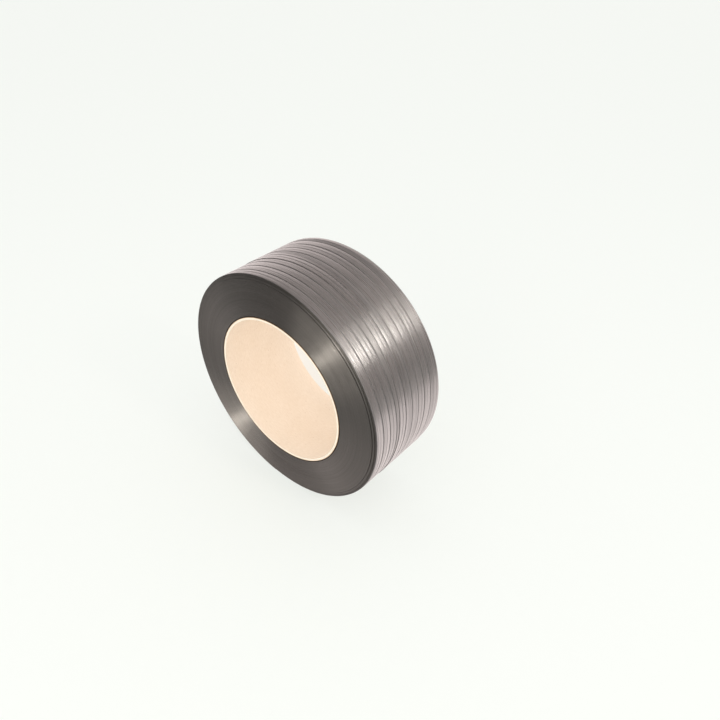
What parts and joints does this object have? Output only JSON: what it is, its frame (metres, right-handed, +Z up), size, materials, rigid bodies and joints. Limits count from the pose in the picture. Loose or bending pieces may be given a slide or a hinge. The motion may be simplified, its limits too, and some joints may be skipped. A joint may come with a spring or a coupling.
{
  "type": "polypropylene strapping roll",
  "caption": "Machine roll of dark polypropylene strapping, wound in even layers on a cardboard core, lying on its round side",
  "frame": {"origin": "on the floor under the middle of the roll, which lies on its round side", "axes": "+Y is the roll's axis, +Z is up, +X is across the roll"},
  "size_m": [0.32, 0.1226, 0.32],
  "materials": {
    "strap": "charcoal polypropylene, satin, drawn lengthwise",
    "core_board": "smooth kraft board, spiral wound"
  },
  "bodies": {
    "root": {"strap_winding": "strap", "cardboard_core": "core_board"}
  },
  "joints": []
}
